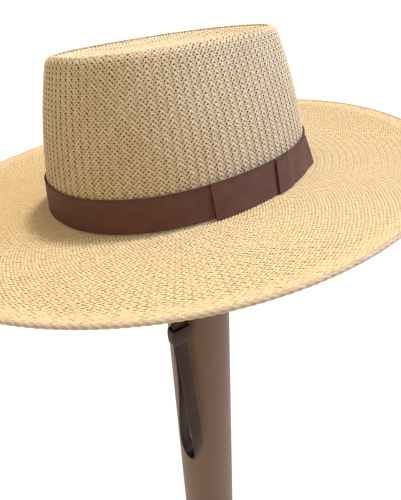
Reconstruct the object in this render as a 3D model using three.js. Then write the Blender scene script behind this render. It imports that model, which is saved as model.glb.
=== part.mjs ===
// A straw gaucho hat with a leather chin strap, on a plain round post stand.
// Millimetres. +Z is up the post, -Y is the wearer's front and +X the wearer's left, the bow's side.
// The origin is the middle of the stand's foot.

import * as THREE from 'three';
import { mergeVertices } from 'three/addons/utils/BufferGeometryUtils.js';

// Clearance between two pieces that touch on the real hat
const fitGap = 0.3;

// Crown, outside sizes of the woven straw
const crownHalfWidth = 82;
const crownHalfLength = 99;
const crownHeight = 94;
const tipHalfWidth = 55;
const tipHalfLength = 79.5;
const tipShiftBack = 3.7;
const tipRiseLeft = 1.3;
const tipRiseFront = 2.5;
const tipSink = 5.4;
const crownSquareness = 2.15;
const tipSquareness = 2.35;
const wallBulge = 3.1;
const tipCornerRadius = 4.5;
const brimTurnRadius = 1.2;
const strawThickness = 2;

// Brim, from the foot of the crown to the outside of its rolled edge
const brimWidth = 91.3;
const brimSideLift = 5.1;
const brimEndLift = 8;
const brimLiftPower = 1.7;
const edgeRollThickness = 2.9;

// Ribbon band and its flat bow
const bandHeight = 20;
const bandFootGap = 0.3;
const ribbonThickness = 1.2;
const bowFromAngle = -17.5;
const bowSplitAngle = 8.5;
const bowToAngle = 42;
const bowLapAngle = 5;
const bowSlantAngle = 4.5;
const bowOverhang = 0.7;

// Leather chin strap and its slide
const strapWidth = 12;
const strapThickness = 2;
const strapEdgeBevel = 0.6;
const slideHeight = 15;
const slideLeather = 2.2;
const slideCornerRadius = 2.2;
const slideRoom = 0.8;
const slideRunSpread = 1.5;
const slideCentre = new THREE.Vector3(19.5, -34.5, 464.5);

// Stand
const baseRadius = 90;
const baseThickness = 14;
const baseEdgeRadius = 4;
const postRadius = 28;
const postLength = 660;
const postDomeRadius = 60;
const postShoulderRadius = 3;

// How the hat sits on the post: the bearing point on its tip, and its lean
const seatLeft = 8.4;
const seatBack = 9.1;
const leanForwardAngle = 3.8;
const leanRightAngle = 1.95;

// Facets
const hatFacets = 64;
const rollFacets = 8;
const bowFacets = 10;
const bowRows = 2;
const strapSteps = 78;
const standFacets = 48;
const cornerFacets = 3;
const domeFacets = 4;

const radians = THREE.MathUtils.degToRad;
const lerp = THREE.MathUtils.lerp;

function finish(name, color, roughness) {
  return new THREE.MeshStandardMaterial({ name, color, roughness, metalness: 0 });
}
const straw = finish('straw', 0xe6c898, 0.75);
const ribbon = finish('ribbon', 0x5f443c, 0.7);
const leather = finish('leather', 0x463228, 0.6);
const lacquer = finish('lacquer', 0x7b6553, 0.5);

// Keeps only the vertices' places, joins the ones that coincide and drops triangles without area.
function closedSolid(geometry) {
  const bare = new THREE.BufferGeometry();
  bare.setAttribute('position', geometry.getAttribute('position'));
  bare.setIndex(geometry.getIndex());
  const merged = mergeVertices(bare, 1e-4);
  const index = merged.getIndex();
  const kept = [];
  for (let i = 0; i < index.count; i += 3) {
    const corners = [index.getX(i), index.getX(i + 1), index.getX(i + 2)];
    if (new Set(corners).size === 3) kept.push(...corners);
  }
  merged.setIndex(kept);
  merged.computeVertexNormals();
  return merged;
}

function piece(name, geometry, material) {
  const mesh = new THREE.Mesh(closedSolid(geometry), material);
  mesh.name = name;
  return mesh;
}

// The outline of the head is a superellipse: its point at an angle, and its outward direction there.
function outlinePoint(ring, angle) {
  const c = Math.cos(angle);
  const s = Math.sin(angle);
  const power = 2 / ring.squareness;
  const x = ring.halfWidth * Math.sign(c) * Math.abs(c) ** power;
  const y = ring.halfLength * Math.sign(s) * Math.abs(s) ** power;
  return new THREE.Vector2(x, y);
}

function outlineOutward(ring, angle) {
  const c = Math.cos(angle);
  const s = Math.sin(angle);
  const power = 2 - 2 / ring.squareness;
  const x = Math.sign(c) * Math.abs(c) ** power / ring.halfWidth;
  const y = Math.sign(s) * Math.abs(s) ** power / ring.halfLength;
  return new THREE.Vector2(x, y).normalize();
}

// A ring of the crown's wall at a height over the brim, before the tip's slope is added.
function wallRing(height) {
  const share = height / crownHeight;
  const belly = wallBulge * 4 * share * (1 - share);
  return {
    halfWidth: lerp(crownHalfWidth, tipHalfWidth, share) + belly,
    halfLength: lerp(crownHalfLength, tipHalfLength, share) + belly,
    squareness: lerp(crownSquareness, tipSquareness, share),
    shiftBack: tipShiftBack * share,
    height,
    slope: share,
  };
}

function tipRing(inset, drop) {
  return {
    halfWidth: Math.max(tipHalfWidth - inset, 0),
    halfLength: Math.max(tipHalfLength - inset * tipHalfLength / tipHalfWidth, 0),
    squareness: tipSquareness,
    shiftBack: tipShiftBack,
    height: crownHeight - drop,
    slope: 1,
  };
}

// A ring of the brim's upper face, at a distance out from the foot of the crown.
const wovenBrimWidth = brimWidth - edgeRollThickness - fitGap;
function brimRing(out) {
  const share = out / brimWidth;
  return {
    halfWidth: crownHalfWidth + out,
    halfLength: crownHalfLength + out,
    squareness: lerp(crownSquareness, 2, share),
    shiftBack: 0,
    height: 0,
    slope: 0,
    lift: share ** brimLiftPower,
  };
}

function ringPoint(ring, angle) {
  const flat = outlinePoint(ring, angle);
  const tipSlope = tipRiseLeft * flat.x / tipHalfWidth - tipRiseFront * flat.y / tipHalfLength;
  const edgeLift = lerp(brimSideLift, brimEndLift, Math.sin(angle) ** 2);
  const height = ring.height + ring.slope * tipSlope + (ring.lift ?? 0) * edgeLift;
  return new THREE.Vector3(flat.x, flat.y + ring.shiftBack, height);
}

// The tip is sunk inside its rim: reach is a share of the way from the middle to the rounded corner,
// sink a share of the tip's depth.
const tipRows = [
  { reach: 0, sink: 1 },
  { reach: 0.35, sink: 1 },
  { reach: 0.66, sink: 0.96 },
  { reach: 0.82, sink: 0.72 },
  { reach: 0.92, sink: 0.26 },
];
const cornerAngles = [90, 45, 0];
const wallShares = [0.75, 0.5, 0.25];
const brimShares = [0.25, 0.5, 0.75, 1];

// A ring where the wall is cut level: its inner ring lies at the same height.
function levelRing(height) {
  return { ...wallRing(height), level: true };
}

// Rings of the tip's outer face, from its middle over the rounded corner to the top of the side
function tipRings() {
  const flatHalfWidth = tipHalfWidth - tipCornerRadius;
  const dish = tipRows.map((row) => tipRing(tipHalfWidth - row.reach * flatHalfWidth, row.sink * tipSink));
  const corner = cornerAngles.map((degrees) => {
    const inset = tipCornerRadius * (1 - Math.cos(radians(degrees)));
    const drop = tipCornerRadius * (1 - Math.sin(radians(degrees)));
    const ring = wallRing(crownHeight - drop);
    ring.halfWidth -= inset;
    ring.halfLength -= inset;
    return ring;
  });
  dish[0].upright = true;
  corner.at(-1).level = true;
  return [...dish, ...corner];
}

// Rings of the side's outer face, between one clearance under the tip and one over the brim's turn
function sideRings() {
  return [
    levelRing(crownHeight - tipCornerRadius - fitGap),
    ...wallShares.map((share) => wallRing(share * crownHeight)),
    levelRing(brimTurnRadius + fitGap),
  ];
}

// Rings of the brim's upper face, from its turn up into the side to its woven edge
function brimRings() {
  const turn = cornerAngles.toReversed().map((degrees) => {
    const up = brimTurnRadius * (1 - Math.sin(radians(degrees)));
    const out = brimTurnRadius * (1 - Math.cos(radians(degrees)));
    const ring = wallRing(up);
    ring.halfWidth += out;
    ring.halfLength += out;
    return ring;
  });
  turn[0].level = true;
  return [...turn, ...brimShares.map((share) => brimRing(share * wovenBrimWidth))];
}

// A solid wall of woven straw between the given rings and the same rings one wall thickness inside.
// An upright ring has its inner one straight below it, and a level ring at its own height. A first
// ring without size closes the wall in the middle, and otherwise the wall is open there.
function strawWall(rings) {
  const last = rings.length - 1;
  const closed = rings[0].halfWidth === 0;
  const step = 2 * Math.PI / hatFacets;
  const outside = (j, i) => ringPoint(rings[j], i * step);
  const inside = (j, i) => {
    const point = outside(j, i);
    if (rings[j].upright) return point.add(new THREE.Vector3(0, 0, -strawThickness));
    if (rings[j].level) {
      const outward = outlineOutward(rings[j], i * step).multiplyScalar(strawThickness);
      return point.sub(new THREE.Vector3(outward.x, outward.y, 0));
    }
    const down = outside(Math.min(j + 1, last), i).sub(outside(Math.max(j - 1, 0), i));
    const round = outside(j, i + 1).sub(outside(j, i - 1));
    const inward = round.cross(down).normalize().multiplyScalar(strawThickness);
    return point.add(inward);
  };
  const order = [];
  for (let j = 0; j <= last; j += 1) order.push((i) => inside(j, i));
  for (let j = last; j >= 0; j -= 1) order.push((i) => outside(j, i));
  if (!closed) order.push((i) => inside(0, i));
  return lathedRings(order, hatFacets);
}

// A lathe turned once round, whose rings are then placed point by point.
function lathedRings(order, facets) {
  const profile = order.map((place) => {
    const point = place(0);
    return new THREE.Vector2(Math.max(point.x, 0), point.z);
  });
  const geometry = new THREE.LatheGeometry(profile, facets);
  const position = geometry.getAttribute('position');
  for (let i = 0; i <= facets; i += 1) {
    order.forEach((place, j) => {
      const point = place(i % facets);
      position.setXYZ(i * order.length + j, point.x, point.y, point.z);
    });
  }
  return geometry;
}

// The straw ends rolled over the brim's edge, a round roll along the whole outline
function edgeRoll() {
  const radius = edgeRollThickness / 2;
  const ring = brimRing(brimWidth - radius);
  const centreDrop = strawThickness / 2;
  const step = 2 * Math.PI / hatFacets;
  const order = [];
  for (let k = 0; k <= rollFacets; k += 1) {
    const around = 2 * Math.PI * (k % rollFacets) / rollFacets;
    order.push((i) => {
      const centre = ringPoint(ring, i * step);
      const outward = outlineOutward(ring, i * step).multiplyScalar(radius * Math.cos(around));
      return new THREE.Vector3(
        centre.x + outward.x,
        centre.y + outward.y,
        centre.z - centreDrop + radius * Math.sin(around),
      );
    });
  }
  return lathedRings(order, hatFacets);
}

// A point at a height on the crown's wall, moved out from it
function onWall(angle, height, out) {
  const ring = wallRing(height);
  const point = ringPoint(ring, angle);
  const outward = outlineOutward(ring, angle).multiplyScalar(out);
  return new THREE.Vector3(point.x + outward.x, point.y + outward.y, point.z);
}

const bandFoot = brimTurnRadius + bandFootGap;

function hatBand() {
  const inner = fitGap;
  const outer = fitGap + ribbonThickness;
  const corners = [
    { up: 0, out: outer },
    { up: 0.5, out: outer },
    { up: 1, out: outer },
    { up: 1, out: inner },
    { up: 0.5, out: inner },
    { up: 0, out: inner },
    { up: 0, out: outer },
  ];
  const step = 2 * Math.PI / hatFacets;
  const order = corners.map(({ up, out }) => (i) => onWall(i * step, bandFoot + up * bandHeight, out));
  return lathedRings(order, hatFacets);
}

// The bow's two flat layers. Along is a share of the layer's turn, lie is how many ribbons lie under it,
// and flare is a share of the ribbon's thickness that its lower edge stands further out.
const foldRows = [
  { along: 0, lie: 1, flare: 0 },
  { along: 1, lie: 1, flare: 0 },
];
const endRows = [
  { along: 0, lie: 2, flare: 0 },
  { along: 0.2, lie: 2, flare: 0 },
  { along: 0.35, lie: 1.15, flare: 0.2 },
  { along: 0.8, lie: 1.15, flare: 0.4 },
  { along: 1, lie: 1.4, flare: 2.2 },
];

function rowAt(rows, along) {
  const next = Math.max(rows.findIndex((row) => row.along >= along), 1);
  const from = rows[next - 1];
  const to = rows[next];
  const share = (along - from.along) / (to.along - from.along);
  return { lie: lerp(from.lie, to.lie, share), flare: lerp(from.flare, to.flare, share) };
}

// A box bent round the crown: its length becomes the turn, its height the ribbon, its depth the thickness.
function bowLayer(fromAngle, toAngle, slantAngle, rows) {
  const geometry = new THREE.BoxGeometry(1, 1, 1, bowFacets, bowRows, 1);
  const position = geometry.getAttribute('position');
  const foot = bandFoot - bowOverhang;
  const tall = bandHeight + 2 * bowOverhang;
  for (let i = 0; i < position.count; i += 1) {
    const along = THREE.MathUtils.clamp(position.getX(i) + 0.5, 0, 1);
    const up = position.getY(i) + 0.5;
    const deep = position.getZ(i) + 0.5;
    const row = rowAt(rows, along);
    const turn = lerp(fromAngle, toAngle - slantAngle * up * along, along);
    const under = row.lie * (ribbonThickness + fitGap) + row.flare * ribbonThickness * (1 - up);
    const point = onWall(radians(turn), foot + up * tall, fitGap + under + deep * ribbonThickness);
    position.setXYZ(i, point.x, point.y, point.z);
  }
  return geometry;
}

// The strap's route, from inside the crown at the wearer's right, down to the slide, round the hanging
// end and up again to the wearer's left. wx, wy and wz give the way that its width points.
const strapRoute = [
  { x: -79.8, y: -1.5, z: 609, wx: 0, wy: 1, wz: 0 },
  { x: -81.8, y: -2, z: 599, wx: 0, wy: 1, wz: 0 },
  { x: -82.6, y: -3.5, z: 588, wx: 0, wy: 1, wz: 0 },
  { x: -79.6, y: -6, z: 572, wx: 0, wy: 1, wz: 0 },
  { x: -67.5, y: -11.5, z: 548, wx: 0, wy: 1, wz: 0 },
  { x: -48, y: -20.5, z: 523, wx: 0, wy: 1, wz: 0.1 },
  { x: -25, y: -30, z: 503, wx: 0, wy: 1, wz: 0.3 },
  { x: -3, y: -36, z: 489, wx: 0.1, wy: 1, wz: 0.5 },
  { x: 12.5, y: -35.8, z: 485, wx: 0.1, wy: 1, wz: 0.2 },
  { x: 17.5, y: -34.5, z: 477, wx: 0, wy: 1, wz: 0 },
  { x: 18, y: -34.5, z: 464.5, wx: 0, wy: 1, wz: 0 },
  { x: 18.2, y: -34.5, z: 454.5, wx: 0, wy: 1, wz: 0 },
  { x: 20, y: -34.5, z: 436, wx: 0, wy: 1, wz: 0 },
  { x: 20, y: -34.5, z: 408, wx: 0, wy: 1, wz: 0 },
  { x: 17.2, y: -34.5, z: 376, wx: 0, wy: 1, wz: 0 },
  { x: 14.8, y: -34.5, z: 348, wx: -0.1, wy: 1, wz: 0 },
  { x: 14.2, y: -34.5, z: 331, wx: -0.25, wy: 1, wz: 0 },
  { x: 17.8, y: -34.5, z: 321, wx: -0.3, wy: 1, wz: 0 },
  { x: 24.8, y: -34.5, z: 317.5, wx: -0.3, wy: 1, wz: 0 },
  { x: 31.8, y: -34.5, z: 321, wx: -0.3, wy: 1, wz: 0 },
  { x: 35.4, y: -34.5, z: 331, wx: -0.25, wy: 1, wz: 0 },
  { x: 34.8, y: -34.5, z: 348, wx: -0.1, wy: 1, wz: 0 },
  { x: 31.4, y: -34.5, z: 376, wx: 0, wy: 1, wz: 0 },
  { x: 27.2, y: -34.5, z: 408, wx: 0, wy: 1, wz: 0 },
  { x: 23.6, y: -34.5, z: 436, wx: 0, wy: 1, wz: 0 },
  { x: 21.1, y: -34.5, z: 454.5, wx: 0, wy: 1, wz: 0 },
  { x: 21, y: -34.5, z: 464.5, wx: 0, wy: 1, wz: 0 },
  { x: 21.5, y: -34.5, z: 477, wx: 0, wy: 1, wz: 0 },
  { x: 24.8, y: -28.5, z: 483, wx: -0.3, wy: 0.5, wz: 1 },
  { x: 28.6, y: -18.5, z: 485.5, wx: -0.2, wy: 0, wz: 1 },
  { x: 33, y: -11.5, z: 489.5, wx: -0.3, wy: 0.4, wz: 0.8 },
  { x: 42, y: -7, z: 503, wx: -0.2, wy: 1, wz: 0.3 },
  { x: 56.2, y: -4.8, z: 533, wx: 0, wy: 1, wz: 0 },
  { x: 67.2, y: -3.6, z: 565, wx: 0, wy: 1, wz: 0 },
  { x: 71.6, y: -2.8, z: 590, wx: 0, wy: 1, wz: 0 },
  { x: 71, y: -2.2, z: 600, wx: 0, wy: 1, wz: 0 },
  { x: 68.4, y: -1.6, z: 611, wx: 0, wy: 1, wz: 0 },
];

// A smooth line through the route that carries the strap's width along with it
class StrapLine extends THREE.CatmullRomCurve3 {
  constructor(rows) {
    super(rows.map((row) => new THREE.Vector3(row.x, row.y, row.z)), false, 'centripetal');
    this.widths = rows.map((row) => new THREE.Vector3(row.wx, row.wy, row.wz).normalize());
  }

  computeFrenetFrames(steps) {
    const tangents = [];
    const normals = [];
    const binormals = [];
    for (let i = 0; i <= steps; i += 1) {
      const tangent = this.getTangentAt(i / steps);
      const place = this.getUtoTmapping(i / steps) * (this.widths.length - 1);
      const from = Math.min(Math.floor(place), this.widths.length - 2);
      const width = this.widths[from].clone().lerp(this.widths[from + 1], place - from);
      width.addScaledVector(tangent, -width.dot(tangent)).normalize();
      tangents.push(tangent);
      normals.push(width);
      binormals.push(tangent.clone().cross(width));
    }
    return { tangents, normals, binormals };
  }
}

function chinStrap() {
  const w = strapWidth / 2;
  const t = strapThickness / 2;
  const edge = strapEdgeBevel;
  const section = new THREE.Shape([
    new THREE.Vector2(w, -t + edge),
    new THREE.Vector2(w, t - edge),
    new THREE.Vector2(w - edge, t),
    new THREE.Vector2(-w + edge, t),
    new THREE.Vector2(-w, t - edge),
    new THREE.Vector2(-w, -t + edge),
    new THREE.Vector2(-w + edge, -t),
    new THREE.Vector2(w - edge, -t),
  ]);
  const extrudePath = new StrapLine(strapRoute);
  return new THREE.ExtrudeGeometry(section, { steps: strapSteps, bevelEnabled: false, extrudePath });
}

// A rounded oblong, drawn into a shape or a hole
function roundedOblong(outline, halfWidth, halfDepth, radius) {
  outline.moveTo(halfWidth, -halfDepth + radius);
  outline.lineTo(halfWidth, halfDepth - radius);
  outline.absarc(halfWidth - radius, halfDepth - radius, radius, 0, Math.PI / 2);
  outline.absarc(-halfWidth + radius, halfDepth - radius, radius, Math.PI / 2, Math.PI);
  outline.absarc(-halfWidth + radius, -halfDepth + radius, radius, Math.PI, 1.5 * Math.PI);
  outline.absarc(halfWidth - radius, -halfDepth + radius, radius, 1.5 * Math.PI, 2 * Math.PI);
  return outline;
}

// A short sleeve of leather wrapped round both runs of the strap
function strapSlide() {
  const innerHalfX = strapThickness + slideRunSpread;
  const innerHalfY = strapWidth / 2 + slideRoom;
  const outline = roundedOblong(
    new THREE.Shape(), innerHalfX + slideLeather, innerHalfY + slideLeather, slideCornerRadius);
  outline.holes.push(roundedOblong(new THREE.Path(), innerHalfX, innerHalfY, fitGap));
  const geometry = new THREE.ExtrudeGeometry(outline, {
    depth: slideHeight, bevelEnabled: false, curveSegments: cornerFacets,
  });
  return geometry.translate(0, 0, -slideHeight / 2);
}

// A profile turned round the post's line, from the axis below to the axis above
function turnedStand(profile) {
  const geometry = new THREE.LatheGeometry(profile, standFacets);
  return geometry.rotateX(Math.PI / 2);
}

function arcPoints(centreX, centreY, radius, fromDegrees, toDegrees, steps) {
  const points = [];
  for (let i = 0; i <= steps; i += 1) {
    const angle = radians(lerp(fromDegrees, toDegrees, i / steps));
    points.push(new THREE.Vector2(centreX + radius * Math.cos(angle), centreY + radius * Math.sin(angle)));
  }
  return points;
}

function standBase() {
  return turnedStand([
    new THREE.Vector2(0, 0),
    new THREE.Vector2(baseRadius, 0),
    ...arcPoints(
      baseRadius - baseEdgeRadius, baseThickness - baseEdgeRadius, baseEdgeRadius, 0, 90, cornerFacets),
    new THREE.Vector2(0, baseThickness),
  ]);
}

// The dome is a cap of a large ball, with a small rounded shoulder below it.
const postFoot = baseThickness + fitGap;
const postTop = postFoot + postLength;
function standPost() {
  const capHalfWidth = postRadius - postShoulderRadius;
  const capAngle = THREE.MathUtils.radToDeg(Math.acos(capHalfWidth / postDomeRadius));
  const capDrop = postDomeRadius * (1 - Math.sin(radians(capAngle)));
  const shoulderHeight = postTop - capDrop - postShoulderRadius;
  return turnedStand([
    new THREE.Vector2(0, postFoot),
    new THREE.Vector2(postRadius, postFoot),
    ...arcPoints(capHalfWidth, shoulderHeight, postShoulderRadius, 0, 90, cornerFacets),
    ...arcPoints(0, postTop - postDomeRadius, postDomeRadius, capAngle, 90, domeFacets).slice(1, -1),
    new THREE.Vector2(0, postTop),
  ]);
}

// The hat, in its own frame: z = 0 is the top of the brim at the foot of the crown.
const hat = new THREE.Group();
hat.rotation.set(radians(leanForwardAngle), radians(-leanRightAngle), 0);
hat.updateMatrix();

// The tip's underside bears on the dome, one clearance above it, along the underside's own slope.
const tipNormal = new THREE.Vector3(-tipRiseLeft / tipHalfWidth, tipRiseFront / tipHalfLength, 1);
tipNormal.normalize().applyQuaternion(hat.quaternion);
const bearing = new THREE.Vector3(seatLeft, seatBack, crownHeight - tipSink - strawThickness);
bearing.z += tipRiseLeft * seatLeft / tipHalfWidth;
bearing.z -= tipRiseFront * (seatBack - tipShiftBack) / tipHalfLength;
bearing.applyQuaternion(hat.quaternion);
const seatHeight = postTop - postDomeRadius + (postDomeRadius + fitGap) / tipNormal.z;
hat.position.set(-bearing.x, -bearing.y, seatHeight - bearing.z);

const bowFold = bowLayer(bowFromAngle, bowSplitAngle + bowLapAngle, 0, foldRows);
const bowEnd = bowLayer(bowSplitAngle, bowToAngle, bowSlantAngle, endRows);
hat.add(
  piece('straw_tip', strawWall(tipRings()), straw),
  piece('straw_side', strawWall(sideRings()), straw),
  piece('straw_brim', strawWall(brimRings()), straw),
  piece('brim_edge', edgeRoll(), straw),
  piece('hat_band', hatBand(), ribbon),
  piece('bow_fold', bowFold, ribbon),
  piece('bow_end', bowEnd, ribbon),
);

const slide = piece('strap_slide', strapSlide(), leather);
slide.position.copy(slideCentre);

const group = new THREE.Group();
group.add(
  piece('stand_base', standBase(), lacquer),
  piece('stand_post', standPost(), lacquer),
  hat,
  piece('chin_strap', chinStrap(), leather),
  slide,
);

export default group;
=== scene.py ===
# %% [markdown]
# # A straw gaucho hat on its post stand
# The hat is plaited from flat straws about 2 mm wide, shaped over a block, bound at the brim's edge,
# and trimmed with a ribbon, a flat bow and a leather chin strap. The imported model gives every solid
# its place, and these cells dress each of them with the surface that the real thing has.

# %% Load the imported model
import math
import bmesh
import bpy
import numpy as np
from mathutils import Matrix, Vector


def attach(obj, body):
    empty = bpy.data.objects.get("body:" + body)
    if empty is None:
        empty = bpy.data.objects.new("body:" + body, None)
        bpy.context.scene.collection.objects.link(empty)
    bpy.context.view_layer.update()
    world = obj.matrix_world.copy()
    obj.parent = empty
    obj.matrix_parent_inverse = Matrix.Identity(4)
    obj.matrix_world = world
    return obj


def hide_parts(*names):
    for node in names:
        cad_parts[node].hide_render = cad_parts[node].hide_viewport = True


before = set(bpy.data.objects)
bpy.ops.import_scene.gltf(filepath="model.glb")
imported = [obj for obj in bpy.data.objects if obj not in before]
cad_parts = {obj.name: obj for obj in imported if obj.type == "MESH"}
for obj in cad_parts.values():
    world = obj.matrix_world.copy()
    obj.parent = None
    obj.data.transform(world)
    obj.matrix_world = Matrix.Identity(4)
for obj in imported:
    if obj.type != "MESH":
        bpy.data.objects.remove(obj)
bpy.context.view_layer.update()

scene = bpy.context.scene

# %% [markdown]
# ## Camera
# The picture was taken from the hat's front left, a little above it, looking down by 30 degrees and
# turned by 3 degrees. The lens could be set with tracking constraints, but three measured directions
# in one matrix say the same with nothing left to solve.

# %% Camera at the picture's place
camera_data = bpy.data.cameras.new("picture_camera")
camera_data.sensor_width = 36.0
camera_data.lens = 32.97
camera_data.clip_start = 0.01
camera_data.clip_end = 100.0
camera = bpy.data.objects.new("picture_camera", camera_data)
scene.collection.objects.link(camera)
look_right = Vector((0.62161, 0.78199, -0.04575))
look_up = Vector((-0.36888, 0.34375, 0.86358))
look_forward = Vector((-0.69103, 0.51993, -0.50214))
camera.matrix_world = Matrix.Translation((0.26494, -0.19275, 0.71144)) @ Matrix(
    (look_right, look_up, -look_forward)).transposed().to_4x4()
scene.camera = camera
print("camera lens", camera_data.lens, "mm, looking down",
      round(math.degrees(math.asin(-look_forward.z)), 1), "degrees")

# %% [markdown]
# ## Sizes
# Every length below is in millimetres, as in the part's source, and is turned to metres where a mesh
# is finished. Keeping the maker's millimetres makes each number readable on a ruler.

# %% Sizes shared by the pieces
MM = 0.001
fit_gap = 0.3
crown_half_width, crown_half_length, crown_height = 82.0, 99.0, 94.0
tip_half_width, tip_half_length = 55.0, 79.5
tip_shift_back, tip_rise_left, tip_rise_front, tip_sink = 3.7, 1.3, 2.5, 5.4
crown_squareness, tip_squareness = 2.15, 2.35
wall_bulge, tip_corner_radius, brim_turn_radius = 3.1, 4.5, 1.2
brim_width, brim_side_lift, brim_end_lift, brim_lift_power = 91.3, 5.1, 8.0, 1.7
edge_roll_thickness = 2.9
band_foot, band_height, ribbon_thickness = 1.5, 20.0, 1.2
strap_width, strap_thickness = 12.0, 2.0

# %% [markdown]
# ## From a bmesh to a piece
# A piece is built in a bmesh, where the modelling operators live, and then handed to an object. Its
# place stays in its vertices and the object itself stays at the origin, so patterns on Object
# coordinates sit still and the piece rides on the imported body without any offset.

# %% Helpers that finish a piece
def piece_from_mesh(name, mesh, nodes):
    for polygon in mesh.polygons:
        polygon.use_smooth = True
    mesh.name = name
    piece = bpy.data.objects.new(name, mesh)
    scene.collection.objects.link(piece)
    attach(piece, "root")
    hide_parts(*nodes)
    triangles = sum(len(p.vertices) - 2 for p in mesh.polygons)
    print(name, triangles, "triangles, size mm", [round(v * 1000, 1) for v in piece.dimensions])
    return piece


def mesh_from_bmesh(bm):
    mesh = bpy.data.meshes.new("work")
    bm.to_mesh(mesh)
    bm.free()
    return mesh


def vertex_table(mesh):
    table = np.empty(len(mesh.vertices) * 3)
    mesh.vertices.foreach_get("co", table)
    return table.reshape(-1, 3)


def place_vertices(mesh, table):
    mesh.vertices.foreach_set("co", np.asarray(table, dtype=float).ravel())
    mesh.update()


def sharpen(bm, angle):
    for edge in bm.edges:
        if len(edge.link_faces) == 2 and edge.calc_face_angle() > math.radians(angle):
            edge.smooth = False

# %% [markdown]
# A strap, a straw and a roll are all one section carried along a line. A curve object with a bevel
# would do it too, but it turns a flat section over at will. Extruding the section's own edges from
# station to station keeps the flat side where the leather really lies.

# %% Helper that carries a section along its stations
def carry_section(bm, outline, stations):
    ring = [bm.verts.new(stations[0] @ Vector((x, y, 0.0))) for x, y in outline]
    edges = [bm.edges.new((ring[i], ring[(i + 1) % len(ring)])) for i in range(len(ring))]
    first_edges = edges
    for before, after in zip(stations, stations[1:]):
        grown = bmesh.ops.extrude_edge_only(bm, edges=edges)["geom"]
        verts = {g for g in grown if isinstance(g, bmesh.types.BMVert)}
        edges = [g for g in grown if isinstance(g, bmesh.types.BMEdge)
                 and g.verts[0] in verts and g.verts[1] in verts]
        bmesh.ops.transform(bm, matrix=after @ before.inverted(), verts=list(verts))
    bmesh.ops.contextual_create(bm, geom=first_edges)
    bmesh.ops.contextual_create(bm, geom=edges)
    bmesh.ops.recalc_face_normals(bm, faces=bm.faces[:])

# %% [markdown]
# ## Chin strap
# One flat leather strap, 12 mm wide and 2 mm thick. It starts inside the crown at the wearer's right,
# comes down to the slide, turns round at its hanging end and goes back up to the wearer's left. Its
# route is the row of points that the source's own strap follows, each with the way its width points.

# %% The strap's route
strap_route = [
    (-79.8, -1.5, 609, 0, 1, 0), (-81.8, -2, 599, 0, 1, 0), (-82.6, -3.5, 588, 0, 1, 0),
    (-79.6, -6, 572, 0, 1, 0), (-67.5, -11.5, 548, 0, 1, 0), (-48, -20.5, 523, 0, 1, 0.1),
    (-25, -30, 503, 0, 1, 0.3), (-3, -36, 489, 0.1, 1, 0.5), (12.5, -35.8, 485, 0.1, 1, 0.2),
    (17.5, -34.5, 477, 0, 1, 0), (18, -34.5, 464.5, 0, 1, 0), (18.2, -34.5, 454.5, 0, 1, 0),
    (20, -34.5, 436, 0, 1, 0), (20, -34.5, 408, 0, 1, 0), (17.2, -34.5, 376, 0, 1, 0),
    (14.8, -34.5, 348, -0.1, 1, 0), (14.2, -34.5, 331, -0.25, 1, 0),
    (17.8, -34.5, 321, -0.3, 1, 0), (24.8, -34.5, 317.5, -0.3, 1, 0),
    (31.8, -34.5, 321, -0.3, 1, 0), (35.4, -34.5, 331, -0.25, 1, 0),
    (34.8, -34.5, 348, -0.1, 1, 0), (31.4, -34.5, 376, 0, 1, 0), (27.2, -34.5, 408, 0, 1, 0),
    (23.6, -34.5, 436, 0, 1, 0), (21.1, -34.5, 454.5, 0, 1, 0), (21, -34.5, 464.5, 0, 1, 0),
    (21.5, -34.5, 477, 0, 1, 0), (24.8, -28.5, 483, -0.3, 0.5, 1),
    (28.6, -18.5, 485.5, -0.2, 0, 1), (33, -11.5, 489.5, -0.3, 0.4, 0.8),
    (42, -7, 503, -0.2, 1, 0.3), (56.2, -4.8, 533, 0, 1, 0), (67.2, -3.6, 565, 0, 1, 0),
    (71.6, -2.8, 590, 0, 1, 0), (71, -2.2, 600, 0, 1, 0), (68.4, -1.6, 611, 0, 1, 0),
]

# %% [markdown]
# The line through the points is a centripetal Catmull-Rom spline, which neither overshoots nor loops
# where the points come close together, as they do at the slide and at the hanging end.

# %% A smooth line with the strap's width along it
def smooth_route(rows, steps_each=24):
    rows = np.array(rows, dtype=float)
    points, widths = rows[:, :3], rows[:, 3:]
    points = np.vstack([2 * points[0] - points[1], points, 2 * points[-1] - points[-2]])
    line, way = [], []
    for i in range(1, len(points) - 2):
        p0, p1, p2, p3 = points[i - 1:i + 3]
        d0, d1, d2 = (math.sqrt(np.linalg.norm(b - a)) for a, b in ((p0, p1), (p1, p2), (p2, p3)))
        t1 = ((p1 - p0) / d0 - (p2 - p0) / (d0 + d1) + (p2 - p1) / d1) * d1
        t2 = ((p2 - p1) / d1 - (p3 - p1) / (d1 + d2) + (p3 - p2) / d2) * d1
        last = i == len(points) - 3
        for t in np.linspace(0, 1, steps_each + 1)[:None if last else -1]:
            line.append(p1 + t1 * t + (-3 * p1 + 3 * p2 - 2 * t1 - t2) * t ** 2
                        + (2 * p1 - 2 * p2 + t1 + t2) * t ** 3)
            way.append(widths[i - 1] * (1 - t) + widths[i] * t)
    return np.array(line), np.array(way)


def even_stations(line, way, spacing):
    run = np.concatenate([[0], np.cumsum(np.linalg.norm(np.diff(line, axis=0), axis=1))])
    places = np.linspace(0, run[-1], int(run[-1] / spacing) + 1)
    centre = np.column_stack([np.interp(places, run, line[:, k]) for k in range(3)])
    width = np.column_stack([np.interp(places, run, way[:, k]) for k in range(3)])
    along = np.gradient(centre, axis=0)
    along /= np.linalg.norm(along, axis=1)[:, None]
    width -= (width * along).sum(axis=1)[:, None] * along
    width /= np.linalg.norm(width, axis=1)[:, None]
    frames = []
    for c, w, a in zip(centre, width, along):
        face = np.cross(a, w)
        frames.append(Matrix.Translation(c * MM) @ Matrix((w, face, a)).transposed().to_4x4())
    return frames, centre, run[-1]

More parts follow.
